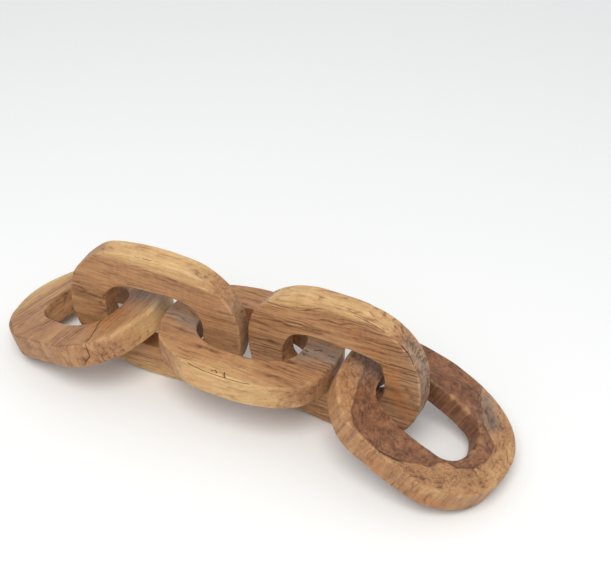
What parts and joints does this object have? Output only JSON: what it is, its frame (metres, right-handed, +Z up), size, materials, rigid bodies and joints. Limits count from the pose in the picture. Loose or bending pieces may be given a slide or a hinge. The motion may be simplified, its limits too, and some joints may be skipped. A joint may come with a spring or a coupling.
{
  "type": "carved wooden chain",
  "caption": "Decorative hand-carved wooden chain lying loose on a surface, its broad oblong links threaded through each other, alternately flat and on edge.",
  "frame": {"origin": "on the surface the chain lies on, under the middle of the whole chain's box", "axes": "+X along the chain towards the right end link, +Y across it towards the back, +Z up from the surface"},
  "size_m": [0.6013, 0.1728, 0.1628],
  "materials": {
    "left_end_wood": "dry sanded teak, dark streaks along the grain",
    "left_upright_wood": "dry sanded teak, pale sapwood along the rim",
    "middle_wood": "dry sanded teak, pale sapwood along the rim",
    "right_upright_wood": "dry sanded teak, many fine dark streaks",
    "right_end_wood": "dry sanded teak, reddish heart with rough pitted grain"
  },
  "bodies": {
    "root": {"left_end_link": "left_end_wood", "left_upright_link": "left_upright_wood", "middle_link": "middle_wood", "right_upright_link": "right_upright_wood", "right_end_link": "right_end_wood"}
  },
  "joints": []
}
